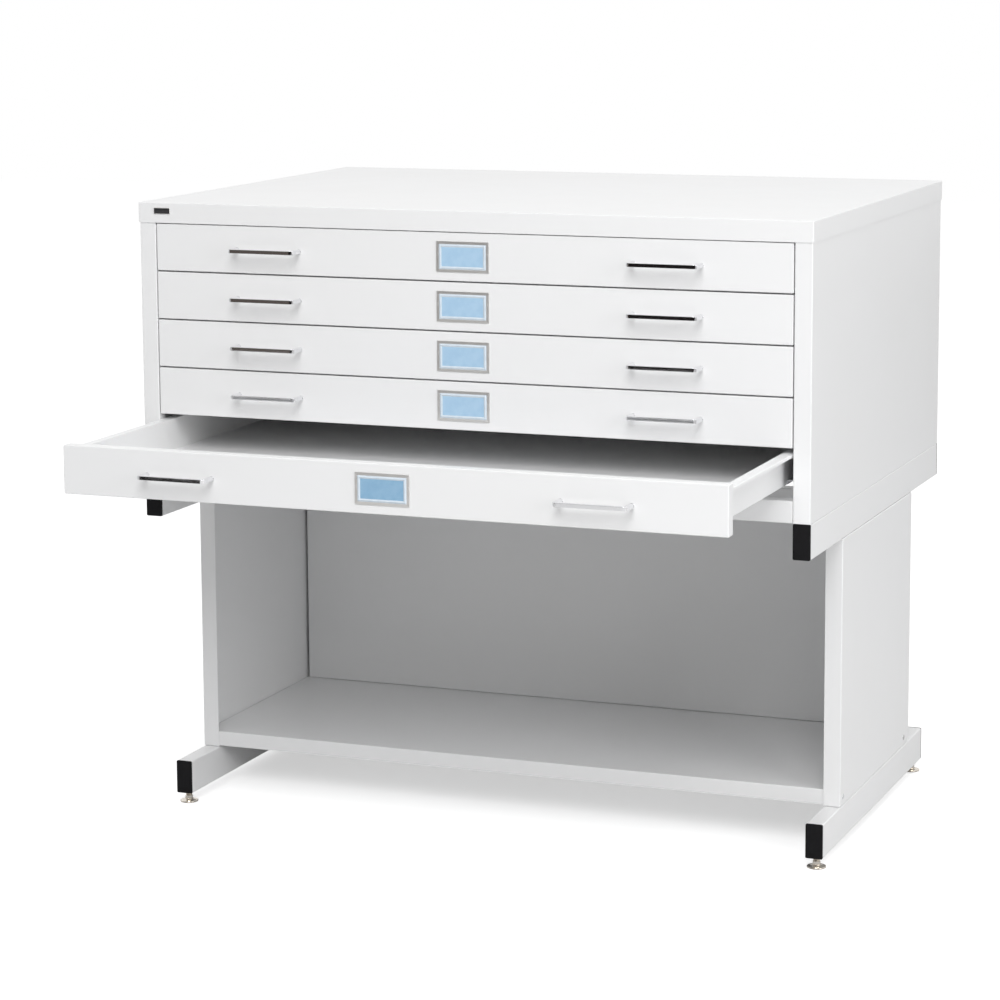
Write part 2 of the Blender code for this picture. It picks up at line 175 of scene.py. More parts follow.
def addPiece(name, mesh, at, body, standsFor=()):
    piece = bpy.data.objects.new(name, mesh)
    stageScene.collection.objects.link(piece)
    piece.location = at
    flattenShading(piece, True)
    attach(piece, body)
    if standsFor:
        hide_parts(*standsFor)
    return piece


def addSet(name, mesh, places, finish, body):
    # one piece that repeats a mesh at each place
    return addPiece(name, manyOf(name, mesh, places, finish), (0, 0, 0), body)


def cutWith(mesh, cutterMesh):
    # the mesh less the cutter
    body = bpy.data.objects.new("cutBody", mesh)
    cutter = bpy.data.objects.new("cutter", cutterMesh)
    for one in (body, cutter):
        stageScene.collection.objects.link(one)
    cut = body.modifiers.new("cut", "BOOLEAN")
    cut.operation = "DIFFERENCE"
    cut.solver = "EXACT"
    cut.object = cutter
    graph = bpy.context.evaluated_depsgraph_get()
    made = bpy.data.meshes.new_from_object(body.evaluated_get(graph))
    for one in (body, cutter):
        bpy.data.objects.remove(one, do_unlink=True)
    return made


# shader helpers

def startGroup(name, inputs, outputs):
    # a shader group that reads a place and some values, and puts out values that vary over the surface
    group = bpy.data.node_groups.new(name, "ShaderNodeTree")
    group.interface.new_socket(name="Place", in_out="INPUT", socket_type="NodeSocketVector")
    for label, value in inputs.items():
        kind = "NodeSocketVector" if isinstance(value, tuple) else "NodeSocketFloat"
        socket = group.interface.new_socket(name=label, in_out="INPUT", socket_type=kind)
        socket.default_value = value
    for label in outputs:
        group.interface.new_socket(name=label, in_out="OUTPUT", socket_type="NodeSocketFloat")
    return group, group.nodes.new("NodeGroupInput").outputs, group.nodes.new("NodeGroupOutput").inputs


def feed(tree, socket, value):
    # links another node's output to a socket, or sets a plain value on it
    if isinstance(value, bpy.types.NodeSocket):
        tree.links.new(value, socket)
    else:
        socket.default_value = value


def addNode(tree, kind, inputs=None, **settings):
    made = tree.nodes.new(kind)
    for key, value in settings.items():
        setattr(made, key, value)
    for label, value in (inputs or {}).items():
        feed(tree, made.inputs[label], value)
    return made


def addMath(tree, operation, first, second=0.0, clamp=False):
    made = addNode(tree, "ShaderNodeMath", {0: first, 1: second}, operation=operation, use_clamp=clamp)
    return made.outputs[0]


def addVectorMath(tree, operation, first, second):
    made = addNode(tree, "ShaderNodeVectorMath", {0: first, 1: second}, operation=operation)
    return made.outputs["Value" if operation == "DOT_PRODUCT" else "Vector"]


def addRange(tree, value, fromLow, fromHigh, toLow, toHigh):
    inputs = {"Value": value, "From Min": fromLow, "From Max": fromHigh, "To Min": toLow, "To Max": toHigh}
    return addNode(tree, "ShaderNodeMapRange", inputs, interpolation_type="SMOOTHSTEP").outputs["Result"]


def addContrast(tree, value, low=0.3, high=0.7):
    # stretches the middle of a noise to the whole range
    return addRange(tree, value, low, high, 0.0, 1.0)


def addMix(tree, factor, first, second):
    # from the first colour to the second; a plain colour comes as (red, green, blue)
    made = addNode(tree, "ShaderNodeMix", {"Factor": factor}, data_type="RGBA")
    sockets = [socket for socket in made.inputs if socket.type == "RGBA"]
    for socket, colour in zip(sockets, (first, second)):
        feed(tree, socket, (*colour, 1.0) if isinstance(colour, tuple) else colour)
    return [socket for socket in made.outputs if socket.type == "RGBA"][0]


def addNoise(tree, vector, scale, detail=2.0, roughness=0.5):
    inputs = {"Vector": vector, "Scale": scale, "Detail": detail, "Roughness": roughness}
    return addNode(tree, "ShaderNodeTexNoise", inputs).outputs["Fac"]


def useGroup(tree, group, **inputs):
    return addNode(tree, "ShaderNodeGroup", inputs, node_tree=group)


def startMaterial(name):
    finish = bpy.data.materials.new(name)
    finish.use_nodes = True
    tree = finish.node_tree
    place = addNode(tree, "ShaderNodeTexCoord").outputs["Object"]
    return finish, tree, tree.nodes["Principled BSDF"], place


def dressShader(tree, shader, colour, roughness, height, strength, depth):
    # joins the three things that every finish varies: colour, roughness and relief
    tree.links.new(colour, shader.inputs["Base Color"])
    tree.links.new(roughness, shader.inputs["Roughness"])
    bump = addNode(tree, "ShaderNodeBump", {"Height": height, "Strength": strength, "Distance": depth})
    tree.links.new(bump.outputs["Normal"], shader.inputs["Normal"])


# shared effects

peelWaves = {
    "fineDetail": 1.5,
    "slowScale": 0.24,  # of the fine waves' scale
    "slowHeight": 1.6,
    "mottleScale": 9.0,  # of the patches' scale
    "mottleRange": (0.32, 0.68),
}


def buildOrangePeel():
    # the low waves of sprayed and baked enamel, with a slow mottle
    inputs = {"Peel": 420.0, "Patch": 5.0}
    group, entry, leave = startGroup("orangePeel", inputs, ["Height", "Mottle", "Cloud"])
    fine = addNoise(group, entry["Place"], entry["Peel"], peelWaves["fineDetail"])
    slowScale = addMath(group, "MULTIPLY", entry["Peel"], peelWaves["slowScale"])
    slow = addNoise(group, entry["Place"], slowScale, 1.0)
    height = addMath(group, "ADD", fine, addMath(group, "MULTIPLY", slow, peelWaves["slowHeight"]))
    mottleScale = addMath(group, "MULTIPLY", entry["Patch"], peelWaves["mottleScale"])
    mottle = addNoise(group, entry["Place"], mottleScale, 3.0)
    cloud = addNoise(group, entry["Place"], entry["Patch"])
    group.links.new(height, leave["Height"])
    group.links.new(addContrast(group, mottle, *peelWaves["mottleRange"]), leave["Mottle"])
    group.links.new(addContrast(group, cloud), leave["Cloud"])
    return group


dustFall = {
    "upward": (0.55, 0.98),  # how far up a face looks, from bare to covered
    "speckRange": (0.38, 0.72),
    "thinnest": 0.25,
}


def buildSettledDust():
    # a thin film on faces that look up
    group, entry, leave = startGroup("settledDust", {"Amount": 0.5, "Grain": 60.0}, ["Mask"])
    surface = addNode(group, "ShaderNodeNewGeometry")
    parts = addNode(group, "ShaderNodeSeparateXYZ", {"Vector": surface.outputs["Normal"]})
    upward = addContrast(group, parts.outputs["Z"], *dustFall["upward"])
    grain = addNoise(group, entry["Place"], entry["Grain"], 5.0, 0.6)
    specks = addRange(group, grain, *dustFall["speckRange"], dustFall["thinnest"], 1.0)
    film = addMath(group, "MULTIPLY", upward, specks)
    group.links.new(addMath(group, "MULTIPLY", film, entry["Amount"]), leave["Mask"])
    return group


edgeFinding = {
    "samples": 4,
    "turned": (0.99, 0.80),  # likeness of the two normals, from flat to edge
    "breakupRange": (0.35, 0.70),
    "faintest": 0.75,
}


def buildEdgeWear():
    # finds the edges by comparing the face's normal with a rounded one
    group, entry, leave = startGroup("edgeWear", {"Width": 0.0012, "Breakup": 90.0}, ["Mask"])
    rounded = addNode(group, "ShaderNodeBevel", {"Radius": entry["Width"]}, samples=edgeFinding["samples"])
    surface = addNode(group, "ShaderNodeNewGeometry")
    alike = addVectorMath(group, "DOT_PRODUCT", rounded.outputs["Normal"], surface.outputs["Normal"])
    turned = addContrast(group, alike, *edgeFinding["turned"])
    breakup = addNoise(group, entry["Place"], entry["Breakup"], 4.0, 0.6)
    broken = addRange(group, breakup, *edgeFinding["breakupRange"], edgeFinding["faintest"], 1.0)
    group.links.new(addMath(group, "MULTIPLY", turned, broken), leave["Mask"])
    return group


streakScaling = 0.12  # of the grain's scale


def buildBrushedGrain():
    # fine lines along one way, for plate and wire
    inputs = {"Stretch": (1.0, 1.0, 1.0), "Scale": 600.0}
    group, entry, leave = startGroup("brushedGrain", inputs, ["Grain", "Streak"])
    drawn = addVectorMath(group, "MULTIPLY", entry["Place"], entry["Stretch"])
    grain = addNoise(group, drawn, entry["Scale"], 3.0, 0.6)
    streak = addNoise(group, drawn, addMath(group, "MULTIPLY", entry["Scale"], streakScaling))
    group.links.new(grain, leave["Grain"])
    group.links.new(addContrast(group, streak), leave["Streak"])
    return group


mouldToneScaling = 0.08  # of the texture's scale


def buildMouldGrain():
    # the spark-eroded texture that a mould leaves on plastic
    group, entry, leave = startGroup("mouldGrain", {"Scale": 1500.0}, ["Height", "Tone"])
    inputs = {"Vector": entry["Place"], "Scale": entry["Scale"]}
    cells = addNode(group, "ShaderNodeTexVoronoi", inputs, feature="SMOOTH_F1")
    toneScale = addMath(group, "MULTIPLY", entry["Scale"], mouldToneScaling)
    tone = addNoise(group, entry["Place"], toneScale, 4.0, 0.6)
    group.links.new(cells.outputs["Distance"], leave["Height"])
    group.links.new(addContrast(group, tone), leave["Tone"])
    return group


paperMake = {
    "stretches": ((0.22, 1.0, 1.0), (1.0, 1.0, 0.22)),
    "cloudScale": 0.09,  # of the fibres' scale
}


def buildPaperFibre():
    # short crossing fibres and a soft cloud, for card
    group, entry, leave = startGroup("paperFibre", {"Scale": 900.0}, ["Fibre", "Cloud"])
    crossing = []
    for stretch in paperMake["stretches"]:
        drawn = addVectorMath(group, "MULTIPLY", entry["Place"], stretch)
        crossing.append(addNoise(group, drawn, entry["Scale"], 3.0, 0.65))
    cloudScale = addMath(group, "MULTIPLY", entry["Scale"], paperMake["cloudScale"])
    cloud = addNoise(group, entry["Place"], cloudScale, 3.0)
    group.links.new(addMath(group, "MAXIMUM", *crossing), leave["Fibre"])
    group.links.new(addContrast(group, cloud), leave["Cloud"])
    return group


orangePeel = buildOrangePeel()
settledDust = buildSettledDust()
edgeWear = buildEdgeWear()
brushedGrain = buildBrushedGrain()
mouldGrain = buildMouldGrain()
paperFibre = buildPaperFibre()
print("shared effects: 6 node groups")


# finishes

enamelLook = {
    "light": (0.838, 0.841, 0.847),
    "warm": (0.833, 0.834, 0.836),
    "thinEdge": (0.79, 0.795, 0.80),
    "dust": (0.82, 0.815, 0.80),
    "glossy": 0.30,
    "dull": 0.33,
    "peel": 420.0,
    "patch": 2.2,
    "peelStrength": 0.08,
    "peelDepth": 0.00010,
    "dustAmount": 0.10,
    "dustGrain": 70.0,
    "dustRough": 0.12,
    "edgeShown": 0.25,
    "edgeWidth": 0.0008,
    "edgeBreakup": 90.0,
    "refraction": 1.5,
}


def makeEnamel(name, look):
    finish, tree, shader, place = startMaterial(name)
    peel = useGroup(tree, orangePeel, Place=place, Peel=look["peel"], Patch=look["patch"])
    dust = useGroup(tree, settledDust, Place=place, Amount=look["dustAmount"], Grain=look["dustGrain"])
    worn = useGroup(tree, edgeWear, Place=place, Width=look["edgeWidth"], Breakup=look["edgeBreakup"])
    paint = addMix(tree, peel.outputs["Cloud"], look["light"], look["warm"])
    thin = addMath(tree, "MULTIPLY", worn.outputs["Mask"], look["edgeShown"])
    edged = addMix(tree, thin, paint, look["thinEdge"])
    dusty = addMix(tree, dust.outputs["Mask"], edged, look["dust"])
    sheen = addRange(tree, peel.outputs["Mottle"], 0.0, 1.0, look["glossy"], look["dull"])
    film = addMath(tree, "MULTIPLY", dust.outputs["Mask"], look["dustRough"])
    rough = addMath(tree, "ADD", sheen, film, clamp=True)
    shader.inputs["IOR"].default_value = look["refraction"]
    dressShader(tree, shader, dusty, rough, peel.outputs["Height"], look["peelStrength"], look["peelDepth"])
    return finish


plateWear = {
    "width": 0.0006,
    "breakup": 300.0,
    "shown": 0.5,
    "grainDepth": 0.00005,
}
metalLooks = {
    "chromePlate": {
        "metallic": 1.0,
        "bright": (0.88, 0.88, 0.89),
        "dim": (0.80, 0.80, 0.82),
        "smooth": 0.035,
        "rough": 0.085,
        "stretch": (0.05, 1.0, 1.0),
        "scale": 900.0,
        "bump": 0.03,
    },
    "stampedPlate": {
        "bright": (0.87, 0.86, 0.85),
        "dim": (0.80, 0.785, 0.765),
        "metallic": 0.82,
        "smooth": 0.28,
        "rough": 0.34,
        "stretch": (0.08, 1.0, 1.0),
        "scale": 700.0,
        "bump": 0.02,
    },
    "glideNickel": {
        "metallic": 1.0,
        "bright": (0.78, 0.74, 0.68),
        "dim": (0.56, 0.50, 0.42),
        "smooth": 0.05,
        "rough": 0.14,
        "stretch": (1.0, 1.0, 9.0),
        "scale": 160.0,
        "bump": 0.05,
    },
    "screwZinc": {
        "metallic": 1.0,
        "bright": (0.76, 0.77, 0.78),
        "dim": (0.58, 0.58, 0.57),
        "smooth": 0.20,
        "rough": 0.36,
        "stretch": (1.0, 1.0, 1.0),
        "scale": 500.0,
        "bump": 0.06,
    },
}


def makeMetal(name, look):
    finish, tree, shader, place = startMaterial(name)
    grain = useGroup(tree, brushedGrain, Place=place, Stretch=look["stretch"], Scale=look["scale"])
    worn = useGroup(tree, edgeWear, Place=place, Width=plateWear["width"], Breakup=plateWear["breakup"])
    tone = addMix(tree, grain.outputs["Streak"], look["bright"], look["dim"])
    rubbed = addMath(tree, "MULTIPLY", worn.outputs["Mask"], plateWear["shown"])
    edged = addMix(tree, rubbed, tone, look["bright"])
    rough = addRange(tree, grain.outputs["Grain"], 0.3, 0.7, look["smooth"], look["rough"])
    shader.inputs["Metallic"].default_value = look["metallic"]
    dressShader(tree, shader, edged, rough, grain.outputs["Grain"], look["bump"], plateWear["grainDepth"])
    return finish


spangleLook = {
    "bright": (0.66, 0.67, 0.69),
    "dim": (0.50, 0.51, 0.53),
    "dust": (0.60, 0.59, 0.57),
    "dustAmount": 0.3,
    "dustGrain": 90.0,
    "smooth": 0.30,
    "rough": 0.46,
    "cells": 150.0,
    "stretch": (1.0, 0.1, 1.0),
    "scale": 500.0,
    "bump": 0.08,
}


def makeSpangle(name, look):
    # zinc plate with its crystal flakes
    finish, tree, shader, place = startMaterial(name)
    flakes = addNode(tree, "ShaderNodeTexVoronoi", {"Vector": place, "Scale": look["cells"]}, feature="F1")
    parts = addNode(tree, "ShaderNodeSeparateColor", {"Color": flakes.outputs["Color"]})
    grain = useGroup(tree, brushedGrain, Place=place, Stretch=look["stretch"], Scale=look["scale"])
    dust = useGroup(tree, settledDust, Place=place, Amount=look["dustAmount"], Grain=look["dustGrain"])
    tone = addMix(tree, parts.outputs["Red"], look["bright"], look["dim"])
    dusty = addMix(tree, dust.outputs["Mask"], tone, look["dust"])
    rough = addRange(tree, parts.outputs["Green"], 0.0, 1.0, look["smooth"], look["rough"])
    shader.inputs["Metallic"].default_value = 1.0
    dressShader(tree, shader, dusty, rough, grain.outputs["Grain"], look["bump"], plateWear["grainDepth"])
    return finish


mouldedWear = {
    "width": 0.0007,
    "breakup": 260.0,
    "shown": 0.6,
    "bump": 0.18,
    "depth": 0.00008,
}
plasticLooks = {
    "blackPlug": {
        "base": (0.0035, 0.0033, 0.0042),
        "lifted": (0.006, 0.0058, 0.007),
        "edge": (0.010, 0.010, 0.012),
        "specular": 0.20,
        "smooth": 0.42,
        "rough": 0.55,
        "grain": 1500.0,
    },
    # a pale blue-white finish for the holder's bead and lip: a painted highlight on the stamped metal
    "rimPaintedHighlight": {
        "base": (0.64, 0.72, 0.79),
        "lifted": (0.58, 0.66, 0.74),
        "edge": (0.72, 0.79, 0.85),
        "specular": 0.6,
        "smooth": 0.14,
        "rough": 0.24,
        "grain": 1300.0,
    },
    "rollerNylon": {
        "base": (0.83, 0.82, 0.78),
        "lifted": (0.76, 0.74, 0.69),
        "edge": (0.88, 0.87, 0.84),
        "specular": 0.5,
        "smooth": 0.38,
        "rough": 0.52,
        "grain": 1100.0,
    },
}


def makePlastic(name, look):
    finish, tree, shader, place = startMaterial(name)
    grain = useGroup(tree, mouldGrain, Place=place, Scale=look["grain"])
    worn = useGroup(tree, edgeWear, Place=place, Width=mouldedWear["width"], Breakup=mouldedWear["breakup"])
    tone = addMix(tree, grain.outputs["Tone"], look["base"], look["lifted"])
    rubbed = addMath(tree, "MULTIPLY", worn.outputs["Mask"], mouldedWear["shown"])
    edged = addMix(tree, rubbed, tone, look["edge"])
    rough = addRange(tree, grain.outputs["Tone"], 0.0, 1.0, look["smooth"], look["rough"])
    shader.inputs["Specular IOR Level"].default_value = look["specular"]
    relief = grain.outputs["Height"]
    dressShader(tree, shader, edged, rough, relief, mouldedWear["bump"], mouldedWear["depth"])
    return finish


cardStock = {
    "fibreScale": 900.0,
    "fibreShown": (0.60, 0.80),
    "fibreMost": 0.45,
    "fibreRange": (0.4, 0.7),
    "rough": 0.62,
    "chalky": 0.80,
    "bump": 0.15,
    "depth": 0.00006,
}
cardLooks = {
    "paleCard": {
        "base": (0.360, 0.550, 0.740),
        "pale": (0.410, 0.595, 0.770),
        "fibre": (0.52, 0.66, 0.80),
    },
    # the same card's blue made darker: painted shade for the card on the open drawer
    "cardPaintedShade": {
        "base": (0.232, 0.415, 0.600),
        "pale": (0.275, 0.460, 0.635),
        "fibre": (0.37, 0.53, 0.68),
    },
}


def makeCard(name, look):
    finish, tree, shader, place = startMaterial(name)
    paper = useGroup(tree, paperFibre, Place=place, Scale=cardStock["fibreScale"])
    fibre = paper.outputs["Fibre"]
    tone = addMix(tree, paper.outputs["Cloud"], look["base"], look["pale"])
    shown = addRange(tree, fibre, *cardStock["fibreShown"], 0.0, cardStock["fibreMost"])
    flecked = addMix(tree, shown, tone, look["fibre"])
    rough = addRange(tree, fibre, *cardStock["fibreRange"], cardStock["rough"], cardStock["chalky"])
    dressShader(tree, shader, flecked, rough, fibre, cardStock["bump"], cardStock["depth"])
    return finish


badgeLook = {
    "base": (0.020, 0.020, 0.022),
    "lifted": (0.045, 0.045, 0.048),
    "smooth": 0.16,
    "rough": 0.30,
    "stretch": (0.06, 1.0, 1.0),
    "scale": 900.0,
    "bump": 0.05,
    "depth": 0.00004,
}


def makeBadgeField(name, look):
    finish, tree, shader, place = startMaterial(name)
    grain = useGroup(tree, brushedGrain, Place=place, Stretch=look["stretch"], Scale=look["scale"])
    tone = addMix(tree, grain.outputs["Streak"], look["base"], look["lifted"])
    rough = addRange(tree, grain.outputs["Grain"], 0.3, 0.7, look["smooth"], look["rough"])
    dressShader(tree, shader, tone, rough, grain.outputs["Grain"], look["bump"], look["depth"])
    return finish


whiteEnamel = makeEnamel("whiteEnamel", enamelLook)
metals = [makeMetal(name, look) for name, look in metalLooks.items()]
chromePlate, stampedPlate, glideNickel, screwZinc = metals
runnerZinc = makeSpangle("runnerZinc", spangleLook)
blackPlug, rimPaintedHighlight, rollerNylon = (makePlastic(name, look) for name, look in plasticLooks.items())
paleCard, cardPaintedShade = (makeCard(name, look) for name, look in cardLooks.items())
badgeField = makeBadgeField("badgeField", badgeLook)
print("finishes: 12 materials")


# sheet metal that stays as packed: softened edges and its finish

sheetEdges = {
    "tray": 0.00018,
    "thin": 0.00025,
    "tube": 0.00035,
    "segments": 2,
    "sharpest": 40,  # degrees: a flatter bend keeps its own shape
    "weld": 0.00002,
}


def softenSheet(nodeName, width, finish):
    node = frame["nodes"][nodeName]
    node.data.materials[0] = finish
    node.data.polygons.foreach_set("use_smooth", [True] * len(node.data.polygons))
    weld = node.modifiers.new("joinSplitCorners", "WELD")
    weld.merge_threshold = sheetEdges["weld"]
    soft = node.modifiers.new("softEdges", "BEVEL")
    soft.width = width
    soft.segments = sheetEdges["segments"]
    soft.limit_method = "ANGLE"
    soft.angle_limit = math.radians(sheetEdges["sharpest"])
    soft.harden_normals = False
    flattenShading(node, False)


thinSheets = ("top_cap", "case_", "front_sill", "rear_sill", "upright_", "base_")
for nodeName in frame["nodes"]:
    if nodeName.endswith("_tray"):
        softenSheet(nodeName, sheetEdges["tray"], whiteEnamel)
    elif nodeName.startswith("runner_frame"):
        softenSheet(nodeName, sheetEdges["thin"], runnerZinc)
    elif "_tube_left" in nodeName or "_tube_right" in nodeName:
        softenSheet(nodeName, sheetEdges["tube"], whiteEnamel)
    elif nodeName.endswith("_front") or nodeName.startswith(thinSheets):
        softenSheet(nodeName, sheetEdges["thin"], whiteEnamel)
print("sheet metal: edges softened")


# bar pulls

pull = {
    "bar": 0.0058,
    "barCorner": 0.0005,
    "bend": 0.0034,
    "bendSteps": 7,
    "collar": 0.0068,
    "collarHeight": 0.0009,
    "collarRound": 0.0002,
    "neck": 0.0001,
}


def pullSection(centre, normal, size, corner):
    # a rounded square across the bar; normal lies in the plane of the bend
    loop = roundedLoop(size, size, corner)
    return [(centre[0] + normal[0] * a, centre[1] + normal[1] * a, b) for a, b in loop]


def buildPull(half, reach, back):
    # half is half the distance between the legs, reach the bar's centre line, back the mounting face
    wide = pull["collar"]
    narrow = wide - 2 * pull["collarRound"]
    top = back - pull["collarHeight"]
    sections = []
    for y, size, corner in (
        (back, narrow, wide / 2),
        (back - pull["collarRound"], wide, wide / 2),
        (top + pull["collarRound"], wide, wide / 2),
        (top, narrow, wide / 2),
        (top - pull["neck"], pull["bar"], pull["barCorner"]),
    ):
        sections.append(pullSection((-half, y), (-1.0, 0.0), size, corner))
    for step in range(pull["bendSteps"] + 1):
        turn = quarterTurn(step, pull["bendSteps"])
        x = -half + pull["bend"] * (1 - math.cos(turn))
        y = -reach + pull["bend"] * (1 - math.sin(turn))
        normal = (-math.cos(turn), -math.sin(turn))
        sections.append(pullSection((x, y), normal, pull["bar"], pull["barCorner"]))
    mirrored = [[(-x, y, z) for x, y, z in section] for section in reversed(sections)]
    bm = bmesh.new()
    loft(bm, sections + mirrored)
    return bm


sampleLow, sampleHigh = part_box("drawer_1_handle_left")
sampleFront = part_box("drawer_1_front")[0].y
pullHalf = (sampleHigh.x - sampleLow.x) / 2 - pull["bar"] / 2
pullReach = sampleFront - sampleLow.y - pull["bar"] / 2
pullShape = buildPull(pullHalf, pullReach, sampleHigh.y - sampleFront)
pullMesh = finishedMesh("barPull", pullShape, chromePlate, smoothAngle=30.0)


# screws

screw = {
    "trussRadius": 0.0042,
    "trussHeight": 0.0012,
    "trussRecess": 0.0009,
    "panRadius": 0.0033,
    "panHeight": 0.0019,
    "panRecess": 0.0013,
    "sides": 28,
    "crownSteps": 6,
    "footShare": 0.96,  # radius at the foot, of the whole
    "rimLow": 0.12,  # heights of the rim, of the whole
    "rimHigh": 0.28,
    "crownFlat": 0.22,  # radius of the flat on top, of the whole
    "recessArm": 0.0022,
    "recessSlim": 0.24,  # half width of an arm, of its length
    "recessFloor": 0.45,  # the recess's size at its floor and above the head, of its nominal size
    "recessMouth": 1.1,
    "cutAbove": 1.3,
}


def buildScrewHead(radius, height, recessDepth):
    # a low domed head along +Z with a cross recess
    profile = [(radius * screw["footShare"], 0.0)]
    profile += [(radius, height * screw["rimLow"]), (radius, height * screw["rimHigh"])]
    for step in range(1, screw["crownSteps"] + 1):
        turn = quarterTurn(step, screw["crownSteps"])
        across = screw["crownFlat"] + (1 - screw["crownFlat"]) * math.cos(turn)
        up = screw["rimHigh"] + (1 - screw["rimHigh"]) * math.sin(turn)
        profile.append((radius * across, height * up))
    head = finishedMesh("screwHead", lathe(profile, screw["sides"]), screwZinc)
    bm = bmesh.new()
    arm = screw["recessArm"]
    slim = arm * screw["recessSlim"]
    loops = []
    for z, scale in (
        (height - recessDepth, screw["recessFloor"]),
        (height * screw["cutAbove"], screw["recessMouth"]),
    ):
        outline = []
        for quarter in range(4):
            turn = quarter * math.pi / 2
            for a, b in ((arm, -slim), (arm, slim), (slim, slim)):
                x = (a * math.cos(turn) - b * math.sin(turn)) * scale
                y = (a * math.sin(turn) + b * math.cos(turn)) * scale
                outline.append((x, y, z))
        loops.append(outline)
    loft(bm, loops)
    return cutWith(head, finishedMesh("crossRecess", bm, screwZinc))


trussHead = buildScrewHead(screw["trussRadius"], screw["trussHeight"], screw["trussRecess"])
panHead = buildScrewHead(screw["panRadius"], screw["panHeight"], screw["panRecess"])


# label holders and cards

holder = {
    "corner": 0.0012,
    "cornerLoss": 0.08,  # share of each step inward that the corner loses
    "cornerLeast": 0.0003,
    "cornerSteps": 3,
    "border": 0.0041,
    "borderRound": 0.00035,
    "borderEase": 0.0001,
    "beadFoot": 0.0003,
    "bead": 0.0044,
    "crest": 0.0004,
    "crestDrop": 0.0002,
    "plate": 0.0011,
    "rise": 0.0026,
    "lip": 0.0008,
    "lipDrop": 0.0004,  # from the crest's lip to the window's edge
    "lipSide": 0.0003,
    "lipTurn": 0.0002,
    "lipRound": 0.0005,
    "lipWidth": 0.0026,
    "rivetRadius": 0.0010,
    "rivetRise": 0.0004,
    "rivetLift": 0.0045,
    "rivetSides": 20,
    "rivetSteps": 6,
}


def buildHolder(width, height, back):
    # a stamped frame along -Y: flat border, roof-shaped bead, lip over the card
    border = holder["border"]
    ease = holder["borderEase"]
    plateTop = back - holder["plate"]
    crest = back - holder["rise"]
    ridge = border + holder["bead"] / 2
    crestSide = crest + holder["crestDrop"]
    inner = border + holder["bead"]
    lipFront = crest + holder["lip"] + holder["lipDrop"]
    lipBack = lipFront + holder["lipRound"]
    stations = [
        (0.0, back),
        (0.0, plateTop + holder["borderRound"]),
        (ease, plateTop + ease),
        (holder["borderRound"], plateTop),
        (border - holder["beadFoot"], plateTop),
        (border, plateTop - ease),
        (ridge - holder["crest"], crestSide),
        (ridge, crest),
        (ridge + holder["crest"], crestSide),
        (inner, lipFront),
        (inner + ease, lipFront + holder["lipSide"]),
        (inner - holder["lipTurn"], lipBack),
        (inner - holder["lipWidth"], lipBack),
        (inner - holder["lipWidth"] - ease, back),
    ]
    bm = bmesh.new()
    for face in loft(bm, insetLoops(width, height, stations, holder), closed=True):
        raised = min(vert.co.y for vert in face.verts) < plateTop - 2 * ease
        face.material_index = 1 if raised else 0  # the bead and the lip take a pale blue-white finish, a painted highlight for their bright ring
    return bm


labelCard = {
    "across": 12,
    "up": 6,
    "bow": 0.00012,
}


def buildCard(width, height, front, back):
    # a punched card that bows by a hair between its edges
    across, up = labelCard["across"], labelCard["up"]
    bm = bmesh.new()
    grids = []
    for y in (front, back):
        grid = []
        for j in range(up + 1):
            row = []
            for i in range(across + 1):
                u = i / across * 2 - 1
                v = j / up * 2 - 1
                bow = labelCard["bow"] * (1 - u * u) * (1 - v * v)
                row.append(bm.verts.new((u * width / 2, y + bow, v * height / 2)))
            grid.append(row)
        grids.append(grid)
    for grid, flip in zip(grids, (False, True)):
        for j in range(up):
            for i in range(across):
                corners = (grid[j][i], grid[j][i + 1], grid[j + 1][i + 1], grid[j + 1][i])
                bm.faces.new(corners[::-1] if flip else corners)
    rims = []
    for grid in grids:
        rim = grid[0][:] + [row[-1] for row in grid[1:]]
        rim += grid[-1][-2::-1] + [row[0] for row in grid[-2:0:-1]]
        rims.append(rim)
    for i in range(len(rims[0])):
        j = (i + 1) % len(rims[0])
        bm.faces.new((rims[0][i], rims[0][j], rims[1][j], rims[1][i]))
    return bm


def buildRivet():
    radius, rise = holder["rivetRadius"], holder["rivetRise"]
    return lathe([(radius, 0.0)] + dome(radius, 0.0, rise, holder["rivetSteps"]), holder["rivetSides"])


holderLow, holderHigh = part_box("drawer_1_label_frame")
cardLow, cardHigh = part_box("drawer_1_label_card")
holderWidth = holderHigh.x - holderLow.x
holderHeight = holderHigh.z - holderLow.z
holderBack = holderHigh.y - sampleFront
holderShape = buildHolder(holderWidth, holderHeight, holderBack)
holderMesh = finishedMesh("labelHolder", holderShape, [stampedPlate, rimPaintedHighlight], smoothAngle=28.0)
cardSize = cardHigh - cardLow
cardShape = buildCard(cardSize.x, cardSize.z, cardLow.y - sampleFront, cardHigh.y - sampleFront)
cardMesh = finishedMesh("labelCard", cardShape, paleCard)
# the open drawer's card is a darker copy of the same card: painted shade
openCardPaintedShadeMesh = cardMesh.copy()
openCardPaintedShadeMesh.materials[0] = cardPaintedShade
rivetMesh = finishedMesh("rivet", buildRivet(), stampedPlate)
rivetX = holderWidth / 2 - holder["border"] / 2
rivetY = holderBack - holder["plate"]
rivetPlaces = []
for sign in sideSigns.values():
    rivetPlaces.append(Matrix.Translation((sign * rivetX, rivetY, holder["rivetLift"])) @ facingFront)
rivetPair = manyOf("rivetPair", rivetMesh, rivetPlaces, stampedPlate)


# nylon rollers and their pins

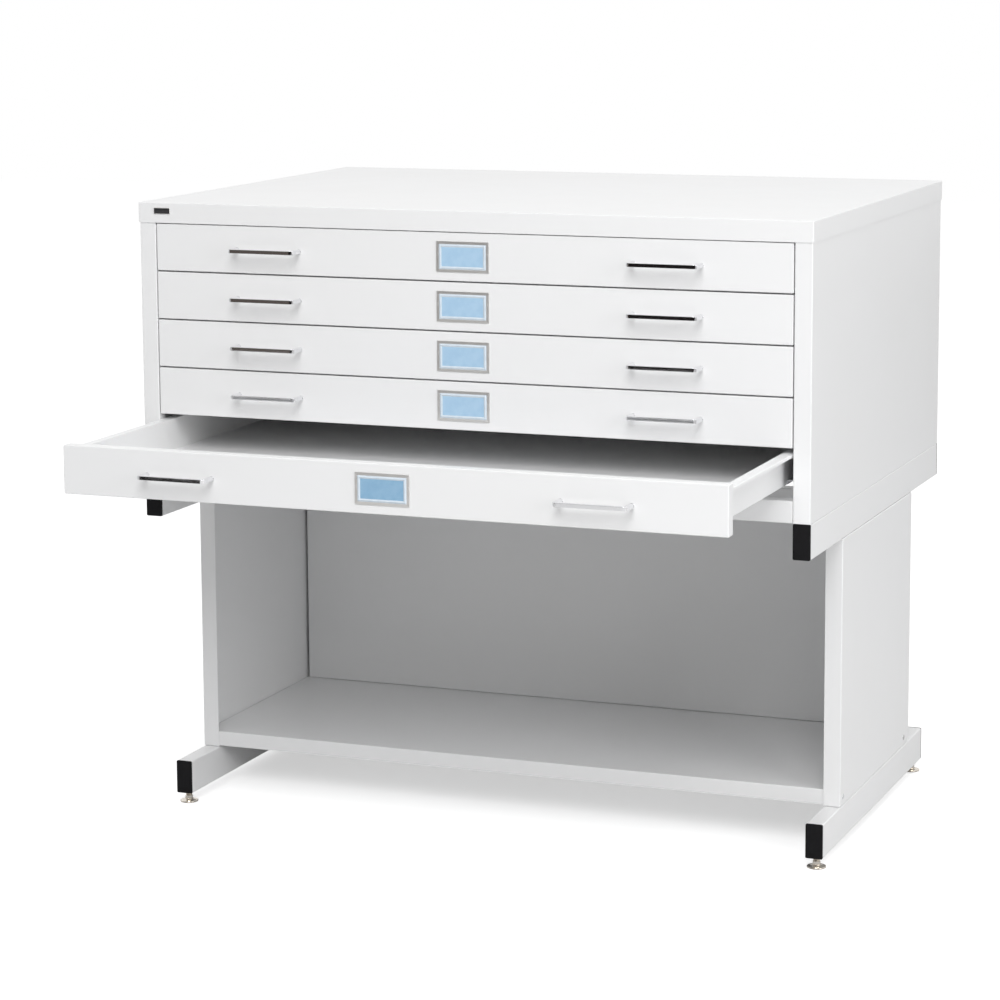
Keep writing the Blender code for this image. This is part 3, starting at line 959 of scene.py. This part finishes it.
roller = {
    "radius": 0.0060,
    "width": 0.0072,
    "edge": 0.0007,
    "bore": 0.0019,
    "hubWall": 0.0012,
    "rimWall": 0.0012,
    "dish": 0.0008,
    "grooveHalf": 0.0006,
    "grooveDepth": 0.0003,
    "sides": 36,
    "pinRadius": 0.0018,
    "pinHead": 0.0031,
    "pinHeadHeight": 0.0007,
    "pinSteps": 5,
    "pinSides": 24,
    "pinPast": 0.0024,  # from the wall to the wheel and past it
    "studPast": 0.0002,
    "wallInset": 0.0146,
    "wallGap": 0.0021,
    "rearSetback": 0.032,
    "rearRise": 0.0137,
    "frontSetback": 0.0225,
    "underFlange": 0.0012,
    "strap": 0.0012,
}


def buildRoller():
    # a nylon wheel along Z with a hub step on each face
    radius = roller["radius"]
    half = roller["width"] / 2
    low, high = roundedProfile(radius, -half, half, roller["edge"])
    hub = roller["bore"] + roller["hubWall"]
    rim = radius - roller["rimWall"]
    floor = -half + roller["dish"]
    first = [(hub, -half), (hub, floor), (rim, floor), (rim, -half)]
    last = [(across, -height) for across, height in first[::-1]]
    grooveHalf = roller["grooveHalf"]
    groove = [(radius, -grooveHalf), (radius - roller["grooveDepth"], 0.0), (radius, grooveHalf)]
    return lathe(first + low + groove + high + last, roller["sides"])


def buildPin(length):
    # an axle pin along Z with a domed head at its far end
    profile = [(roller["pinRadius"], 0.0), (roller["pinRadius"], length), (roller["pinHead"], length)]
    profile += dome(roller["pinHead"], length, roller["pinHeadHeight"], roller["pinSteps"])
    return lathe(profile, roller["pinSides"])


rollerMesh = finishedMesh("roller", buildRoller(), rollerNylon)
outward = {side: Matrix.Rotation(math.radians(90 * sign), 4, "Y") for side, sign in sideSigns.items()}
inward = {"left": outward["right"], "right": outward["left"]}


# the five drawers

traySheet = 0.0009  # the pull screws' heads sit on the inside of the tray's front wall


def dressDrawer(body):
    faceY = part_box(f"{body}_front")[0].y
    trayLow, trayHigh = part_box(f"{body}_tray")
    pullScrews = []
    for side in sideSigns:
        nodeName = f"{body}_handle_{side}"
        low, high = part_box(nodeName)
        middle = (low + high) / 2
        addPiece(f"{body}_pull_{side}", pullMesh, (middle.x, faceY, middle.z), body, [nodeName])
        for leg in (-1, 1):
            at = (middle.x + leg * pullHalf, trayLow.y + traySheet, middle.z)
            pullScrews.append(Matrix.Translation(at) @ facingRear)
    low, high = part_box(f"{body}_label_frame")
    middle = (low + high) / 2
    at = (middle.x, faceY, middle.z)
    addPiece(f"{body}_holder", holderMesh, at, body, [f"{body}_label_frame"])
    # the open drawer takes the card with painted shade
    card = openCardPaintedShadeMesh if body == drawerBodies[-1] else cardMesh
    addPiece(f"{body}_card", card, at, body, [f"{body}_label_card"])
    addPiece(f"{body}_rivets", rivetPair, at, body)
    addSet(f"{body}_pull_screws", panHead, pullScrews, screwZinc, body)
    # rear rollers outside the tray's walls, under its flanges
    rollers = []
    pins = []
    y = trayHigh.y - roller["rearSetback"]
    z = trayLow.z + roller["rearRise"]
    for side, sign in sideSigns.items():
        wall = (trayHigh.x - roller["wallInset"]) * sign
        centre = wall + sign * (roller["wallGap"] + roller["width"] / 2)
        rollers.append(Matrix.Translation((centre, y, z)) @ outward[side])
        pins.append(Matrix.Translation((wall, y, z)) @ outward[side])
    addSet(f"{body}_rollers", rollerMesh, rollers, rollerNylon, body)
    pin = finishedMesh("trayPin", buildPin(roller["width"] + roller["pinPast"]), screwZinc)
    addSet(f"{body}_roller_pins", pin, pins, screwZinc, body)


for body in drawerBodies:
    dressDrawer(body)
print("drawers:", len(drawerBodies), "dressed with pulls, holders, cards and rollers")


# front rollers under the trays' flanges, on studs from the runner frames

def dressRunners():
    rollers = []
    pins = []
    for body in drawerBodies:
        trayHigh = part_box(f"{body}_tray")[1]
        wheelInner = trayHigh.x - roller["wallInset"] + roller["wallGap"]
        z = trayHigh.z - roller["underFlange"] - roller["radius"]
        for side, sign in sideSigns.items():
            low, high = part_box(f"runner_frame_{side}")
            y = low.y + roller["frontSetback"]
            strapFace = (high.x if sign > 0 else low.x) - sign * roller["strap"]
            inner = sign * wheelInner
            rollers.append(Matrix.Translation((inner + sign * roller["width"] / 2, y, z)) @ outward[side])
            pins.append(Matrix.Translation((strapFace, y, z)) @ inward[side])
    addSet("runner_rollers", rollerMesh, rollers, rollerNylon, "cabinet")
    stud = finishedMesh("runnerPin", buildPin(abs(strapFace - inner) + roller["studPast"]), screwZinc)
    addSet("runner_roller_pins", stud, pins, screwZinc, "cabinet")


dressRunners()
print("runners: rollers and studs")


# badge: a blank plate with a raised rim

badge = {
    "corner": 0.0012,
    "cornerLoss": 0.6,
    "cornerLeast": 0.0,
    "cornerSteps": 5,
    "rim": 0.00055,
    "rimSlope": 0.0001,
    "recess": 0.0003,
    "round": 0.0002,
}


def dressBadge():
    low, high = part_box("badge_plate")
    size = high - low
    face = -size.y
    field = face + badge["recess"]
    stations = [
        (0.0, 0.0),
        (0.0, face + badge["round"]),
        (badge["round"], face),
        (badge["rim"], face),
        (badge["rim"] + badge["rimSlope"], field),
    ]
    bm = bmesh.new()
    loft(bm, insetLoops(size.x, size.z, stations, badge))
    for side in bm.faces:
        nearest = min(vert.co.y for vert in side.verts)
        side.material_index = 1 if nearest < field - badge["rimSlope"] / 2 else 0  # rim and sides are plate
    mesh = finishedMesh("badge", bm, [badgeField, stampedPlate])
    at = ((low.x + high.x) / 2, high.y, (low.z + high.z) / 2)
    addPiece("badge_blank", mesh, at, "cabinet", ["badge_plate"])


dressBadge()


# end plugs

plug = {
    "corner": 0.0021,
    "cornerLoss": 0.7,
    "cornerLeast": 0.0005,
    "cornerSteps": 5,
    "centre": ((0.0062, 0.0), (0.0040, 0.00002)),  # the middle of the crowned face
    "round": 0.0009,
    "roundDepth": 0.8,  # of the round's width
    "roundSteps": 4,
    "crown": 0.00025,
    "head": 0.0030,
    "headRound": 0.0002,
    "play": 0.0019,
    "playRound": 0.0001,
    "ribs": 3,
    "ribRise": 0.00025,
    "ribStations": ((0.15, 1), (0.45, 0), (0.65, 0), (0.90, 1)),  # share of the span, and if raised
    "tail": 0.0012,
    "tip": ((0.0004, 0.0010), (0.0010, 0.0)),  # how far in, and how far short of the end
}


def buildPlug(width, height, depth):
    # the head's face looks along -Y at Y = 0, and the ribbed body goes into the tube
    stations = list(plug["centre"])
    for step in range(plug["roundSteps"] + 1):
        turn = quarterTurn(step, plug["roundSteps"])
        inset = plug["round"] * (1 - math.sin(turn))
        y = plug["crown"] + plug["round"] * (1 - math.cos(turn)) * plug["roundDepth"]
        stations.append((inset, y))
    stations.append((0.0, plug["head"] - plug["headRound"]))
    stations.append((plug["headRound"], plug["head"]))
    stations.append((plug["play"] + plug["playRound"], plug["head"]))
    span = (depth - plug["head"] - plug["tail"]) / plug["ribs"]
    for rib in range(plug["ribs"]):
        start = plug["head"] + rib * span
        for share, raised in plug["ribStations"]:
            stations.append((plug["play"] + plug["ribRise"] * raised, start + span * share))
    for further, short in plug["tip"]:
        stations.append((plug["play"] + further, depth - short))
    bm = bmesh.new()
    loft(bm, insetLoops(width, height, stations, plug))
    return bm


def dressPlugs():
    low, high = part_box("leg_plug_front_right")
    size = high - low
    plugShape = buildPlug(size.x, size.z, size.y)
    frontMesh = finishedMesh("endPlug", plugShape, blackPlug, smoothAngle=40.0)
    rearMesh = frontMesh.copy()
    rearMesh.transform(Matrix.Rotation(math.pi, 4, "Z"))
    for kind in ("top_tube", "leg"):
        for end, mesh in (("front", frontMesh), ("rear", rearMesh)):
            for side in sideSigns:
                nodeName = f"{kind}_plug_{end}_{side}"
                low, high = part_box(nodeName)
                middle = (low + high) / 2
                at = (middle.x, low.y if end == "front" else high.y, middle.z)
                addPiece(f"{kind}_{end}_{side}_cap", mesh, at, "cabinet", [nodeName])


dressPlugs()
print("badge and end plugs")


# levelling feet

glide = {
    "sole": (0.0022, 0.0),  # how far in from the rim, and how high
    "soleEdge": (0.0012, 0.0002),
    "rim": 0.0024,
    "rimRound": 0.0010,
    "grooveInset": 0.0022,
    "grooveDrop": 0.0001,
    "dishTop": 0.0044,
    "dishSteps": 6,
    "dishSides": 48,
    "neck": 0.0050,
    "hexAcross": 0.0108,
    "hexTop": 0.0100,
    "hexRound": 1.10,  # the corners are turned down to this share of the half width
    "hexChamfer": (0.0007, 0.0006),
    "hexSink": 0.0006,
    "stem": 0.0050,
    "stemSink": 0.0005,
    "stemTaper": (0.8, 0.0004),  # the end's size, and its height
    "pitch": 0.0015,
    "threadDepth": 0.00075,
    "threadCrest": 1.35,
    "fadeRows": 5.0,
    "rowsEachPitch": 6,
    "sides": 36,
}


def buildDish(radius):
    soleIn, soleLow = glide["sole"]
    edgeIn, edgeHigh = glide["soleEdge"]
    profile = [(radius - soleIn, soleLow), (radius - edgeIn, edgeHigh)]
    low, high = roundedProfile(radius, edgeHigh, glide["rim"] + edgeHigh, glide["rimRound"])
    groove = radius - glide["grooveInset"]
    profile += low[1:] + high + [(groove, glide["rim"] - glide["grooveDrop"])]
    for step in range(1, glide["dishSteps"] + 1):
        share = step / glide["dishSteps"]
        across = groove + (glide["neck"] - groove) * share
        profile.append((across, glide["rim"] + (glide["dishTop"] - glide["rim"]) * share * share))
    return lathe(profile, glide["dishSides"])


def addHexagon(bm):
    # the part that a spanner turns
    half = glide["hexAcross"] / 2
    trim, drop = glide["hexChamfer"]
    loops = []
    for z, less in (
        (glide["dishTop"] - glide["hexSink"], 0.0),
        (glide["hexTop"] - drop, 0.0),
        (glide["hexTop"], trim),
    ):
        loop = []
        for side in range(glide["sides"]):
            turn = side * math.tau / glide["sides"]
            fold = (turn + math.pi / 6) % (math.pi / 3) - math.pi / 6
            reach = min(half / math.cos(fold), half * glide["hexRound"]) - less
            loop.append((reach * math.cos(turn), reach * math.sin(turn), z))
        loops.append(loop)
    loft(bm, loops)


def addThread(bm, height):
    # the stem, with a thread that fades out towards its end
    sides = glide["sides"]
    endSize, endHeight = glide["stemTaper"]
    length = height - endHeight - glide["hexTop"]
    rows = int((height - glide["hexTop"]) / glide["pitch"] * glide["rowsEachPitch"])
    loops = []
    for row in range(rows + 1):
        z = glide["hexTop"] - glide["stemSink"] + length * row / rows
        fade = min(1.0, (rows - row) / glide["fadeRows"])
        loop = []
        for side in range(sides):
            turn = side * math.tau / sides
            phase = (z / glide["pitch"] - side / sides) % 1.0
            crest = min(1.0, glide["threadCrest"] * (1 - abs(phase * 2 - 1)))
            reach = glide["stem"] - glide["threadDepth"] * (1 - crest * fade)
            loop.append((reach * math.cos(turn), reach * math.sin(turn), z))
        loops.append(loop)
    loops.append([(x * endSize, y * endSize, height) for x, y, z in loops[-1]])
    loft(bm, loops)


def dressFeet():
    low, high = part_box(footBodies[0])
    bm = buildDish((high.x - low.x) / 2)
    addHexagon(bm)
    addThread(bm, high.z)
    mesh = finishedMesh("glide", bm, glideNickel, smoothAngle=38.0)
    for body in footBodies:
        low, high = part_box(body)
        at = ((low.x + high.x) / 2, (low.y + high.y) / 2, 0.0)
        addPiece(f"{body}_glide", mesh, at, body, [body])


dressFeet()
print("levelling feet:", len(footBodies))


# assembly screws

fixings = {
    "uprightFront": 0.014,
    "uprightRear": 0.032,
    "shelfScrewDrop": 0.0113,
    "returnInset": 0.0127,
    "returnHeights": (0.06, 0.5, 0.94),
    "returnTop": 0.03,  # the cap's skirt hides the return above this
}


def dressFixings():
    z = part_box("base_shelf")[1].z - fixings["shelfScrewDrop"]
    for side, sign in sideSigns.items():
        low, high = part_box(f"upright_{side}")
        x = high.x if sign > 0 else low.x
        places = []
        for y in (low.y + fixings["uprightFront"], high.y - fixings["uprightRear"]):
            places.append(Matrix.Translation((x, y, z)) @ outward[side])
        addSet(f"upright_screws_{side}", trussHead, places, screwZinc, "cabinet")
        low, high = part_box(f"case_side_{side}")
        x = (high.x if sign > 0 else low.x) - sign * fixings["returnInset"]
        places = []
        for share in fixings["returnHeights"]:
            height = low.z + (high.z - fixings["returnTop"] - low.z) * share
            places.append(Matrix.Translation((x, high.y, height)) @ facingRear)
        addSet(f"case_back_screws_{side}", trussHead, places, screwZinc, "cabinet")


dressFixings()
print("assembly screws")


# floor, light and camera

studio = {
    "floorNear": -4.7,
    "floorFar": 11.0,
    "floorHalf": 9.0,
    "floorTone": (0.93, 0.93, 0.93),
    "floorLighter": (0.94, 0.94, 0.94),
    "floorBounce": (0.70, 0.70, 0.70),
    "floorGlow": 0.5,
    "floorRough": 0.9,
    "floorCloud": 2.0,
    "skyShown": (1.0, 1.0, 1.0),
    "skyGlossy": (1.0, 1.0, 1.0),
    "skyDiffuse": (0.60, 0.60, 0.60),
    "frontDiffuse": (0.25, 0.25, 0.25),
    "warmRoom": (0.10, 0.085, 0.075),
    "darkRoom": (0.012, 0.010, 0.010),
    "roomAhead": (-0.25, -0.55),  # where the dark room in front begins and is whole
    "roomBelow": (0.62, 0.40),
    "roomAcross": (-0.42, -0.34),  # where it turns from warm to dark
    "flagAt": (-1.86, -3.50, 0.004),
    "flagSize": (0.90, 0.70),
    "feltTones": ((0.006, 0.005, 0.005), (0.012, 0.011, 0.010)),
    "feltNap": 40.0,
    "aim": (0.0, 0.05, 0.62),
}
lights = {
    "keyLight": {"at": (1.25, -4.30, 3.90), "size": 3.0, "power": 158.0},
    "overheadLight": {"at": (0.1, 0.5, 3.3), "size": 2.6, "power": 10.0},
    "rightLight": {"at": (3.2, -1.6, 1.5), "size": 1.8, "power": 35.0},
}


def layCard(name, low, high, finish):
    # a flat card that faces up
    bm = bmesh.new()
    corners = [(low[0], low[1]), (high[0], low[1]), (high[0], high[1]), (low[0], high[1])]
    bm.faces.new([bm.verts.new((x, y, 0.0)) for x, y in corners])
    mesh = bpy.data.meshes.new(name)
    bm.to_mesh(mesh)
    bm.free()
    mesh.materials.append(finish)
    card = bpy.data.objects.new(name, mesh)
    stageScene.collection.objects.link(card)
    return card


def makeFloor():
    finish, tree, shader, place = startMaterial("palePaper")
    paper = addNoise(tree, place, studio["floorCloud"], 3.0)
    tone = addMix(tree, paper, studio["floorTone"], studio["floorLighter"])
    direct = addNode(tree, "ShaderNodeLightPath").outputs["Is Camera Ray"]
    tree.links.new(addMix(tree, direct, studio["floorBounce"], tone), shader.inputs["Base Color"])
    tree.links.new(tone, shader.inputs["Emission Color"])
    glow = addMath(tree, "MULTIPLY", direct, studio["floorGlow"])
    tree.links.new(glow, shader.inputs["Emission Strength"])
    shader.inputs["Roughness"].default_value = studio["floorRough"]
    shader.inputs["Specular IOR Level"].default_value = 0.0
    # clear from below, so that a low view sees the underside of the cabinet
    seen = addNode(tree, "ShaderNodeNewGeometry").outputs["Backfacing"]
    clear = addNode(tree, "ShaderNodeBsdfTransparent")
    choose = addNode(tree, "ShaderNodeMixShader", {0: seen})
    tree.links.new(shader.outputs["BSDF"], choose.inputs[1])
    tree.links.new(clear.outputs["BSDF"], choose.inputs[2])
    tree.links.new(choose.outputs["Shader"], tree.nodes["Material Output"].inputs["Surface"])
    low = (-studio["floorHalf"], studio["floorNear"])
    high = (studio["floorHalf"], studio["floorFar"])
    layCard("floor", low, high, finish)


def makeFlag():
    # a dark card on the floor that only the bright metal sees
    finish, tree, shader, place = startMaterial("darkFelt")
    nap = addNoise(tree, place, studio["feltNap"], 3.0)
    tree.links.new(addMix(tree, nap, *studio["feltTones"]), shader.inputs["Base Color"])
    shader.inputs["Roughness"].default_value = 1.0
    shader.inputs["Specular IOR Level"].default_value = 0.0
    wide, deep = studio["flagSize"]
    flag = layCard("flag", (-wide / 2, -deep / 2), (wide / 2, deep / 2), finish)
    flag.location = studio["flagAt"]
    flag.visible_camera = False
    flag.visible_diffuse = False
    flag.visible_transmission = False
    flag.visible_shadow = False


def makeSky():
    # white to the camera; a bright studio with a dark room low in front of the cabinet to everything else
    world = bpy.data.worlds.new("studio")
    stageScene.world = world
    world.use_nodes = True
    tree = world.node_tree
    background = tree.nodes["Background"]
    rays = addNode(tree, "ShaderNodeLightPath")
    heading = addNode(tree, "ShaderNodeTexCoord").outputs["Generated"]
    parts = addNode(tree, "ShaderNodeSeparateXYZ", {"Vector": heading})
    ahead = addContrast(tree, parts.outputs["Y"], *studio["roomAhead"])
    below = addContrast(tree, parts.outputs["Z"], *studio["roomBelow"])
    dark = addMath(tree, "MULTIPLY", ahead, below)
    across = addContrast(tree, parts.outputs["X"], *studio["roomAcross"])
    room = addMix(tree, across, studio["warmRoom"], studio["darkRoom"])
    mirrored = addMix(tree, dark, studio["skyGlossy"], room)
    softSky = addMix(tree, dark, studio["skyDiffuse"], studio["frontDiffuse"])
    lit = addMix(tree, rays.outputs["Is Glossy Ray"], softSky, mirrored)
    shown = addMix(tree, rays.outputs["Is Camera Ray"], lit, studio["skyShown"])
    tree.links.new(shown, background.inputs["Color"])
    background.inputs["Strength"].default_value = 1.0


def makeLight(name, setup):
    lamp = bpy.data.lights.new(name, "AREA")
    lamp.shape = "SQUARE"
    lamp.size = setup["size"]
    lamp.energy = setup["power"]
    stand = bpy.data.objects.new(name, lamp)
    stageScene.collection.objects.link(stand)
    stand.location = setup["at"]
    stand.rotation_euler = (Vector(studio["aim"]) - Vector(setup["at"])).to_track_quat("-Z", "Y").to_euler()
    stand.visible_camera = False


camera = {
    "at": (1.6425, -4.2677, 1.3104),
    "yaw": 21.369,
    "pitch": -8.418,
    "roll": -0.319,
    "lens": 111.6,
    "sensor": 36.0,
    "rise": -0.1,
    "farthest": 60.0,
}


def makeCamera():
    yaw, pitch, roll = (math.radians(camera[key]) for key in ("yaw", "pitch", "roll"))
    forward = Vector((-math.sin(yaw) * math.cos(pitch), math.cos(yaw) * math.cos(pitch), math.sin(pitch)))
    right = forward.cross(Vector((0, 0, 1))).normalized()
    up = right.cross(forward)
    across = math.cos(roll) * right + math.sin(roll) * up
    upward = -math.sin(roll) * right + math.cos(roll) * up
    data = bpy.data.cameras.new("camera")
    data.sensor_width = camera["sensor"]
    data.lens = camera["lens"]
    data.shift_y = camera["rise"]
    data.dof.use_dof = False
    data.clip_end = camera["farthest"]
    tripod = bpy.data.objects.new("camera", data)
    stageScene.collection.objects.link(tripod)
    turn = Matrix((across, upward, -forward)).transposed()
    tripod.matrix_world = Matrix.Translation(camera["at"]) @ turn.to_4x4()
    stageScene.camera = tripod


makeFloor()
makeFlag()
makeSky()
for name, setup in lights.items():
    makeLight(name, setup)
makeCamera()
stageScene.view_settings.view_transform = "Standard"
print("floor, light and camera")
